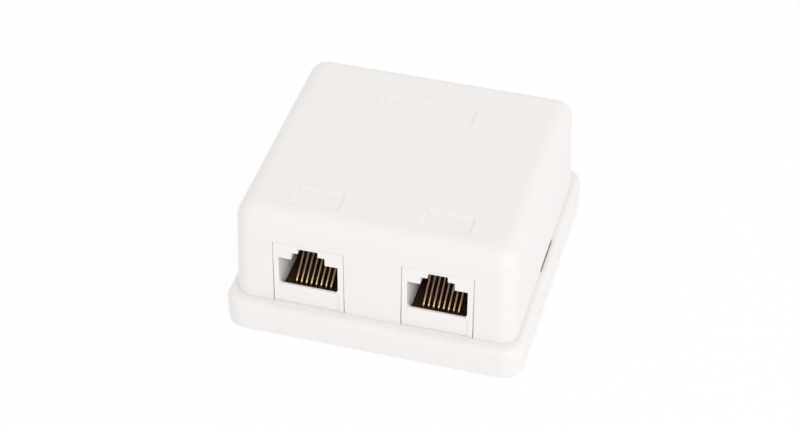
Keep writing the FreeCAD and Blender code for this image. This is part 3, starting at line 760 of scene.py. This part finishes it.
# ---- Sockets ----
FOOT = 7.1 * MM  # the face ends just above the ledge
STEP_Y = -25.6 * MM  # below it the body steps back inside the base's wall
LOWER_LIP = 0.85 * MM
SHELF_TOP = 7.9 * MM
MOUTH_CHAMFER = 0.45 * MM
SHOULDER_HALF, SHOULDER_TOP = 3.4 * MM, 20 * MM
LATCH_HALF, LATCH_TOP = 2 * MM, 21.2 * MM
LATCH_LIP, LATCH_CHANNEL = 1.6 * MM, 10 * MM
PANEL_DEPTH = 0.2 * MM
TOP_STEPS, FACE_STEPS = 6, 4


def socket_housing(sizes, draft):
    """Socket body about x = 0: leaning face, stepped mouth, latch channel and the insert's room."""
    half = (HOUSING_HIGH.x - HOUSING_LOW.x) / 2
    face, rear, top = HOUSING_LOW.y, HOUSING_HIGH.y, HOUSING_HIGH.z
    before, behind, lip = face - OVERCUT, rear + OVERCUT, face + LATCH_LIP
    low, high, low_cut = sizes.mouth_low, sizes.mouth_high, sizes.mouth_high - OVERCUT
    body = block_across("socket_moulding", half, face, rear, BOARD_TOP, top)
    shift(body, lambda corner: near(corner.co.y, face) and near(corner.co.z, top),
          (0, draft * (top - FOOT), 0))
    cut(body, block_across("step", half + OVERCUT, before, STEP_Y, BOARD_TOP - OVERCUT, FOOT))
    round_edges(body, sizes.corner, TOP_STEPS, lambda edge: near(middle(edge).z, top)
                and near(edge.verts[0].co.x, edge.verts[1].co.x))
    front = face + draft * (top - FOOT)
    round_edges(body, sizes.face_edge, FACE_STEPS, lambda edge: middle(edge).z > FOOT + SAME
                and max(end.co.y for end in edge.verts) < front + SAME)
    mouth = block_across("mouth", sizes.mouth_half, before, lip, low, high)
    slant_edges(mouth, MOUTH_CHAMFER, lambda edge: near(middle(edge).z, low)
                and near(abs(middle(edge).x), sizes.mouth_half))
    shift(mouth, lambda corner: near(corner.co.z, low + MOUTH_CHAMFER), (0, 0, MOUTH_CHAMFER))
    shoulder = block_across("shoulder", SHOULDER_HALF, before, lip, low_cut, SHOULDER_TOP)
    latch = block_across("latch", LATCH_HALF, before, lip, low_cut, LATCH_TOP)
    channel = block_across("channel", SHOULDER_HALF, lip, face + LATCH_CHANNEL, low_cut, LATCH_TOP)
    room = block_across("room", sizes.mouth_half, face + LOWER_LIP, behind, SHELF_TOP, high)
    foot_room = block_across("foot_room", sizes.mouth_half, STEP_Y + LOWER_LIP, behind,
                             BOARD_TOP - OVERCUT, SHELF_TOP + OVERCUT)
    panel = block_across("panel", sizes.panel_half, before, face + PANEL_DEPTH,
                         FOOT - OVERCUT, low)
    shift(panel, lambda corner: corner.co.y > face and near(corner.co.z, low),
          (0, draft * (low - FOOT + OVERCUT), 0))
    cut(body, mouth, shoulder, latch, channel, room, foot_room, panel)
    soften(body, sizes.rim)
    return body


class JACKBOX_OT_sockets(bpy.types.Operator):
    """Model one socket body and set a copy at each port"""
    bl_idname = "jackbox.sockets"
    bl_label = "Sockets"

    def execute(self, context):
        scene = context.scene
        body = socket_housing(scene.jackbox_socket, scene.jackbox_cover.draft)
        white = moulded_plastic("socket_white", scene.jackbox_finishes.socket, roughness=0.5,
                                grain=6500, grain_depth=0.01 * MM, specular=0.1)
        for side, x in PORTS.items():
            piece = copied(body, side + "_socket_moulding", (x, 0, 0))
            dress(piece, white, "base_body", side + "_socket_housing")
        bpy.data.objects.remove(body)
        return {"FINISHED"}


# ---- Contacts and their carriers ----
CONTACT_RUN_Z = 8.435 * MM
CONTACT_FRONT = 3.35 * MM
CONTACT_END = 11.7 * MM
TAIL_BEND = 0.35 * MM
TAIL_ROWS = (9 * MM, 11.54 * MM)
TAIL_END = 3.8 * MM
TAIL_BEND_STEPS, BEND_STEPS = 6, 18
WIRE_SIDES = 12
WIRE_SHARP = radians(60)  # the wire's flats are smoothed, and its cut ends are not


def pin_x(pin):
    """A contact's place across its socket."""
    return (pin - (PINS - 1) / 2) * PIN_PITCH


def spin_end(centre, angle, steps):
    """Turn the selected end face about an axis along X, and sweep wire behind it."""
    bpy.ops.mesh.spin(steps=steps, angle=angle, center=centre, axis=(1, 0, 0))


def extrude_end(offset):
    bpy.ops.mesh.extrude_region_move(TRANSFORM_OT_translate={"value": offset})


def contact_wire(row, sizes):
    """Round spring wire about x = 0: up from the board, forward, and back over itself."""
    face = HOUSING_LOW.y
    tail_y = face + TAIL_ROWS[row]
    turn_y = face + CONTACT_FRONT + sizes.bend
    tail_top = CONTACT_RUN_Z - TAIL_BEND
    wire = add_post("contact_wire", (0, tail_y, (TAIL_END + tail_top) / 2), sizes.width / 2,
                    tail_top - TAIL_END, segments=WIRE_SIDES)
    pick(wire, "FACE", facing_up)
    spin_end((0, tail_y - TAIL_BEND, tail_top), radians(-90), TAIL_BEND_STEPS)
    extrude_end((0, turn_y - tail_y + TAIL_BEND, 0))
    spin_end((0, turn_y, CONTACT_RUN_Z + sizes.bend), radians(180) - sizes.rise, BEND_STEPS)
    # The free leg starts where the bend ends and runs up into the comb.
    run = face + CONTACT_END - turn_y + sizes.bend * sin(sizes.rise)
    extrude_end((0, run, run * tan(sizes.rise)))
    bpy.ops.mesh.select_all(action="SELECT")
    bpy.ops.mesh.remove_doubles(threshold=DOUBLES)
    bpy.ops.mesh.normals_make_consistent(inside=False)
    done()
    smoothed(wire, angle=WIRE_SHARP)
    return wire


class JACKBOX_OT_contacts(bpy.types.Operator):
    """Model an odd and an even contact and set copies of them in both sockets"""
    bl_idname = "jackbox.contacts"
    bl_label = "Contacts"

    def execute(self, context):
        sizes = context.scene.jackbox_contact
        colours = context.scene.jackbox_finishes
        gold_and_highlight = contact_gold(colours.gold_and_highlight, colours.bronze_and_shade)
        wires = [contact_wire(row, sizes) for row in (0, 1)]
        for side, x in PORTS.items():
            for pin in range(PINS):
                node = "%s_contact_%d" % (side, pin + 1)
                piece = copied(wires[pin % 2], node + "_wire", (x + pin_x(pin), 0, 0))
                dress(piece, gold_and_highlight, "base_body", node)
        for wire in wires:
            bpy.data.objects.remove(wire)
        return {"FINISHED"}


class JACKBOX_OT_carriers(bpy.types.Operator):
    """Finish the inserts that hold the contacts"""
    bl_idname = "jackbox.carriers"
    bl_label = "Contact carriers"

    def execute(self, context):
        colours = context.scene.jackbox_finishes
        black = moulded_plastic("insulator_black", colours.insulator, roughness=0.45,
                                grain=5000, grain_depth=0.01 * MM, specular=0.35)
        for side in PORTS:
            paint(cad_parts[side + "_contact_carrier"], black)
        return {"FINISHED"}


# ---- Circuit board ----
TRACK_WIDTH, TRACK_HEIGHT, TRACK_PITCH = 0.45 * MM, 0.05 * MM, 1.45 * MM
TRACK_Y = (-10.3 * MM, -9.3 * MM, -7.3 * MM, -6.1 * MM)  # start, first bend, second bend, end
PAD_R, PAD_HEIGHT, SCREW_HOLE_R = 2.9 * MM, 0.06 * MM, 1.3 * MM
HEAD_R, HEAD_HEIGHT, HEAD_ROUND = 2 * MM, 1.3 * MM, 0.85 * MM
HEAD_STEPS = 8
CROSS_REACH, CROSS_WIDTH, CROSS_DEPTH, CROSS_TAPER = 1 * MM, 0.5 * MM, 0.8 * MM, 0.6
SHANK_END, SHANK_LAP = 1.2 * MM, 0.125 * MM  # its foot, and its reach into the head
SCREW_RIM = 0.05 * MM


def track(x, pin):
    """Raised copper line from behind a socket to a blade, with two slanted bends."""
    near_x = x + pin_x(pin)
    far_x = x + (pin - PINS / 2) * TRACK_PITCH
    path = list(zip((near_x, near_x, far_x, far_x), TRACK_Y))
    outline = [(u - TRACK_WIDTH / 2, v) for u, v in path]
    outline += [(u + TRACK_WIDTH / 2, v) for u, v in reversed(path)]
    return add_profile("track", outline, "Z", BOARD_TOP, BOARD_TOP + TRACK_HEIGHT)


def merged(pieces, name):
    """One piece out of several that lie apart from each other."""
    deselect_all()
    for piece in pieces:
        piece.select_set(True)
    bpy.context.view_layer.objects.active = pieces[0]
    bpy.ops.object.join()
    pieces[0].name = name
    pieces[0].data.name = name
    return pieces[0]


def screw_pad(y):
    """Tinned ring round a screw's hole."""
    pad = post_between("screw_pad", 0, y, BOARD_TOP, BOARD_TOP + PAD_HEIGHT, PAD_R)
    cut(pad, post_between("hole", 0, y, BOARD_TOP - OVERCUT, BOARD_TOP + OVERCUT, SCREW_HOLE_R))
    return pad


def pan_head_screw(y):
    """Screw with a domed head, a tapering cross recess and a plain shank in its post."""
    seat = BOARD_TOP + PAD_HEIGHT
    top = seat + HEAD_HEIGHT
    screw = post_between("board_screw", 0, y, seat, top, HEAD_R)
    round_edges(screw, HEAD_ROUND, HEAD_STEPS, level_at(top))
    for along in (CROSS_REACH, CROSS_WIDTH / 2):
        across = CROSS_REACH + CROSS_WIDTH / 2 - along
        slot = block_about("cross", 0, y, along, across, top - CROSS_DEPTH, top + OVERCUT)
        resize(slot, "FACE", facing_down, (CROSS_TAPER, CROSS_TAPER, 1), (0, y, 0))
        cut(screw, slot)
    join(screw, post_between("shank", 0, y, SHANK_END, seat + SHANK_LAP, SCREW_R))
    soften(screw, SCREW_RIM)
    return screw


class JACKBOX_OT_board(bpy.types.Operator):
    """Finish the circuit board, and model its tracks, screw pads and screws"""
    bl_idname = "jackbox.board"
    bl_label = "Circuit board"

    def execute(self, context):
        colours = context.scene.jackbox_finishes
        paint(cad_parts["circuit_board"], solder_resist(colours.board, colours.core))
        copper = moulded_plastic("track_green", colours.track, roughness=0.3, grain=3000,
                                 grain_depth=0.004 * MM)
        for side, x in PORTS.items():
            tracks = merged([track(x, pin) for pin in range(PINS)], side + "_tracks")
            dress(tracks, copper, "base_body", None)
        tin = plated_metal("pad_tin", PAD_TIN, roughness=0.32)
        pads = merged([screw_pad(y) for y in SCREW_Y], "screw_pads")
        dress(pads, tin, "base_body", None)
        steel = plated_metal("screw_steel", SCREW_STEEL, roughness=0.28)
        screws = merged([pan_head_screw(y) for y in SCREW_Y], "pan_head_screws")
        dress(screws, steel, "base_body", "board_screws")
        return {"FINISHED"}


# ---- Punch-down blocks ----
BLOCK_HALF, BLOCK_DECK, BLOCK_SHOULDER, BLOCK_TOP = 6.6 * MM, 10.6 * MM, 12.6 * MM, 17.6 * MM
ROW_Y, ROW_HALF, ROW_TOP_HALF = (-4.4 * MM, 3.4 * MM), 2.2 * MM, 1.3 * MM
BLADE_PITCH, BLADES_IN_ROW = 2.9 * MM, 4
WIRE_SLOT_HALF, WIRE_SLOT_LOW = 0.45 * MM, 11.6 * MM
WIRE_GUIDE_HALF, WIRE_GUIDE_DEPTH = 1.1 * MM, 1.3 * MM
BLADE_ROOM_X, BLADE_ROOM_Y, BLADE_ROOM_TOP = 1.02 * MM, 0.22 * MM, 15.44 * MM
BLOCK_RIM = 0.15 * MM


def row_outline(y):
    """One row's slanted flanks and top, from front to rear."""
    return [(y - ROW_HALF, BLOCK_SHOULDER), (y - ROW_TOP_HALF, BLOCK_TOP),
            (y + ROW_TOP_HALF, BLOCK_TOP), (y + ROW_HALF, BLOCK_SHOULDER)]


def block_body():
    """Two rows on a common foot, slotted for the wires and cut for the blades."""
    front, rear = ROW_Y
    outline = [(front - ROW_HALF, BOARD_TOP), *row_outline(front),
               (front + ROW_HALF, BLOCK_DECK), (rear - ROW_HALF, BLOCK_DECK),
               *row_outline(rear), (rear + ROW_HALF, BOARD_TOP)]
    body = add_profile("punch_down", outline, "X", -BLOCK_HALF, BLOCK_HALF)
    columns = [(column - (BLADES_IN_ROW - 1) / 2) * BLADE_PITCH for column in range(BLADES_IN_ROW)]
    guide = [(WIRE_SLOT_HALF, WIRE_SLOT_LOW), (WIRE_SLOT_HALF, BLOCK_TOP - WIRE_GUIDE_DEPTH),
             (WIRE_GUIDE_HALF, BLOCK_TOP), (WIRE_GUIDE_HALF, BLOCK_TOP + OVERCUT)]
    guide += [(-u, z) for u, z in reversed(guide)]
    before, behind = front - ROW_HALF - OVERCUT, rear + ROW_HALF + OVERCUT
    cut(body, *[add_profile("wire_slot", [(x + u, z) for u, z in guide], "Y", before, behind)
                for x in columns])
    bevelled(body, BLOCK_RIM)
    cut(body, *[block_about("blade_room", x, y, BLADE_ROOM_X, BLADE_ROOM_Y, BOARD_TOP - OVERCUT,
                            BLADE_ROOM_TOP) for x in columns for y in ROW_Y])
    smoothed(body)
    return body


class JACKBOX_OT_blocks(bpy.types.Operator):
    """Model one punch-down block, set a copy behind each socket and finish the blades"""
    bl_idname = "jackbox.blocks"
    bl_label = "Punch-down blocks"

    def execute(self, context):
        body = block_body()
        white = moulded_plastic("block_white", context.scene.jackbox_finishes.block,
                                roughness=0.4, grain=5200, grain_depth=0.01 * MM)
        tin = plated_metal("blade_tin", BLADE_TIN, roughness=0.3)
        for side, x in PORTS.items():
            piece = copied(body, side + "_punch_down", (x, 0, 0))
            dress(piece, white, "base_body", side + "_punch_down_block")
            for number in range(1, 2 * BLADES_IN_ROW + 1):
                paint(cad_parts["%s_blade_%d" % (side, number)], tin)
        bpy.data.objects.remove(body)
        return {"FINISHED"}


# ---- Stage ----
SENSOR_WIDTH = 36  # millimetres, as the focal length
CLIP_START = 0.01
SOFTBOX_DISTANCE, SOFTBOX_SIZE = 1.1, 0.7
KEY_AZIMUTH, KEY_ELEVATION, KEY_POWER = radians(48), radians(32), 2.65
FLOOR_SIZE = 6
PAPER, PAPER_ROUGHNESS = (0.955, 0.965, 0.99), 0.9
FLOOR_GLOW = 0.9  # share of plain white in what the camera sees of the floor
WORLD_LIGHT = 0.9
WHITE = (1, 1, 1, 1)


def direction(azimuth, elevation):
    """Towards a place round the box; azimuth 0 is in front and 90 degrees at its right."""
    return Vector((sin(azimuth) * cos(elevation), -cos(azimuth) * cos(elevation), sin(elevation)))


def add_camera(stage):
    """Camera round the aim point, given by its azimuth, elevation and roll."""
    back = direction(stage.azimuth, stage.elevation)
    right = Vector((cos(stage.azimuth), sin(stage.azimuth), 0))
    up = back.cross(right)
    turned_right = right * cos(stage.roll) + up * sin(stage.roll)
    turned_up = up * cos(stage.roll) - right * sin(stage.roll)
    location = Vector(stage.aim) + back * stage.distance
    deselect_all()
    bpy.ops.object.camera_add()
    camera = bpy.context.active_object
    camera.name = "camera"
    axes = Matrix((turned_right, turned_up, back)).transposed().to_4x4()
    camera.matrix_world = Matrix.Translation(location) @ axes
    camera.data.lens = stage.lens
    camera.data.sensor_width = SENSOR_WIDTH
    camera.data.clip_start = CLIP_START
    bpy.context.scene.camera = camera


def add_softbox(name, azimuth, elevation, power):
    """Square lamp that faces the box."""
    deselect_all()
    towards = direction(azimuth, elevation)
    bpy.ops.object.light_add(type="AREA", location=towards * SOFTBOX_DISTANCE)
    lamp = bpy.context.active_object
    lamp.name = name
    lamp.data.shape = "SQUARE"
    lamp.data.size = SOFTBOX_SIZE
    lamp.data.energy = power
    lamp.rotation_euler = (-towards).to_track_quat("-Z", "Y").to_euler()


def seen_directly(tree):
    """1 for rays that look straight at the backdrop, or see it in a gloss or through a glass."""
    path = new_node(tree, "LightPath")
    seen = path.outputs["Is Camera Ray"]
    for kind in ("Is Glossy Ray", "Is Transmission Ray"):
        either = new_node(tree, "Math", operation="MAXIMUM")
        tree.links.new(seen, either.inputs[0])
        tree.links.new(path.outputs[kind], either.inputs[1])
        seen = either.outputs[0]
    return seen


def mix_shaders(tree, factor, first, second, surface):
    """Blend two shaders by the factor into the tree's output node."""
    mix = new_node(tree, "MixShader")
    tree.links.new(factor, mix.inputs["Fac"])
    tree.links.new(first, mix.inputs[1])
    tree.links.new(second, mix.inputs[2])
    tree.links.new(mix.outputs["Shader"], tree.nodes[surface].inputs["Surface"])


def add_floor():
    """White table that the camera sees nearly plain white, with a faint shadow."""
    deselect_all()
    bpy.ops.mesh.primitive_plane_add(size=FLOOR_SIZE, location=(0, 0, 0))
    floor = named("floor")
    material = bpy.data.materials.new("floor_white")
    material.use_nodes = True
    tree = material.node_tree
    paper = set_up(tree.nodes["Principled BSDF"], Roughness=PAPER_ROUGHNESS,
                   **{"Base Color": (*PAPER, 1)})
    glow = new_node(tree, "Emission", Strength=1.0)
    share = new_node(tree, "Math", operation="MULTIPLY")
    share.inputs[1].default_value = FLOOR_GLOW
    tree.links.new(seen_directly(tree), share.inputs[0])
    mix_shaders(tree, share.outputs[0], paper.outputs["BSDF"], glow.outputs["Emission"],
                "Material Output")
    paint(floor, material)


def set_world():
    """Even studio light, white where the camera, a gloss or a glass looks straight at it."""
    world = bpy.data.worlds.new("studio")
    world.use_nodes = True
    tree = world.node_tree
    light = set_up(tree.nodes["Background"], Color=WHITE, Strength=WORLD_LIGHT)
    backdrop = new_node(tree, "Background", Color=WHITE, Strength=1.0)
    mix_shaders(tree, seen_directly(tree), light.outputs["Background"],
                backdrop.outputs["Background"], "World Output")
    bpy.context.scene.world = world


class JACKBOX_OT_stage(bpy.types.Operator):
    """Set up the white floor, the soft lights and the camera"""
    bl_idname = "jackbox.stage"
    bl_label = "Stage"

    def execute(self, context):
        scene = context.scene
        scene.view_settings.view_transform = "Standard"
        add_floor()
        set_world()
        add_softbox("softbox_key", KEY_AZIMUTH, KEY_ELEVATION, KEY_POWER)
        add_camera(scene.jackbox_stage)
        return {"FINISHED"}


# ---- Add-on ----
OPERATORS = (JACKBOX_OT_base, JACKBOX_OT_cover, JACKBOX_OT_sockets, JACKBOX_OT_carriers,
             JACKBOX_OT_contacts, JACKBOX_OT_board, JACKBOX_OT_blocks, JACKBOX_OT_stage)
SETTINGS = {"jackbox_base": BaseSizes, "jackbox_cover": CoverSizes,
            "jackbox_socket": SocketSizes, "jackbox_contact": ContactSizes,
            "jackbox_finishes": Finishes, "jackbox_stage": StageSetup}


class JACKBOX_PT_build(bpy.types.Panel):
    """Buttons that build the box, piece by piece, above its sizes"""
    bl_label = "Jack box"
    bl_idname = "JACKBOX_PT_build"
    bl_space_type = "VIEW_3D"
    bl_region_type = "UI"
    bl_category = "Jack box"

    def draw(self, context):
        for operator in OPERATORS:
            self.layout.operator(operator.bl_idname)
        for setting, group in SETTINGS.items():
            for name in group.__annotations__:
                self.layout.prop(getattr(context.scene, setting), name)


def register():
    for setting, group in SETTINGS.items():
        bpy.utils.register_class(group)
        setattr(bpy.types.Scene, setting, PointerProperty(type=group))
    for entry in (*OPERATORS, JACKBOX_PT_build):
        bpy.utils.register_class(entry)


def unregister():
    for entry in (JACKBOX_PT_build, *reversed(OPERATORS)):
        bpy.utils.unregister_class(entry)
    for setting, group in reversed(SETTINGS.items()):
        delattr(bpy.types.Scene, setting)
        bpy.utils.unregister_class(group)


def main():
    register()
    bpy.ops.jackbox.base()
    bpy.ops.jackbox.cover()
    bpy.ops.jackbox.sockets()
    bpy.ops.jackbox.carriers()
    bpy.ops.jackbox.contacts()
    bpy.ops.jackbox.board()
    bpy.ops.jackbox.blocks()
    bpy.ops.jackbox.stage()


if __name__ == "__main__":
    main()
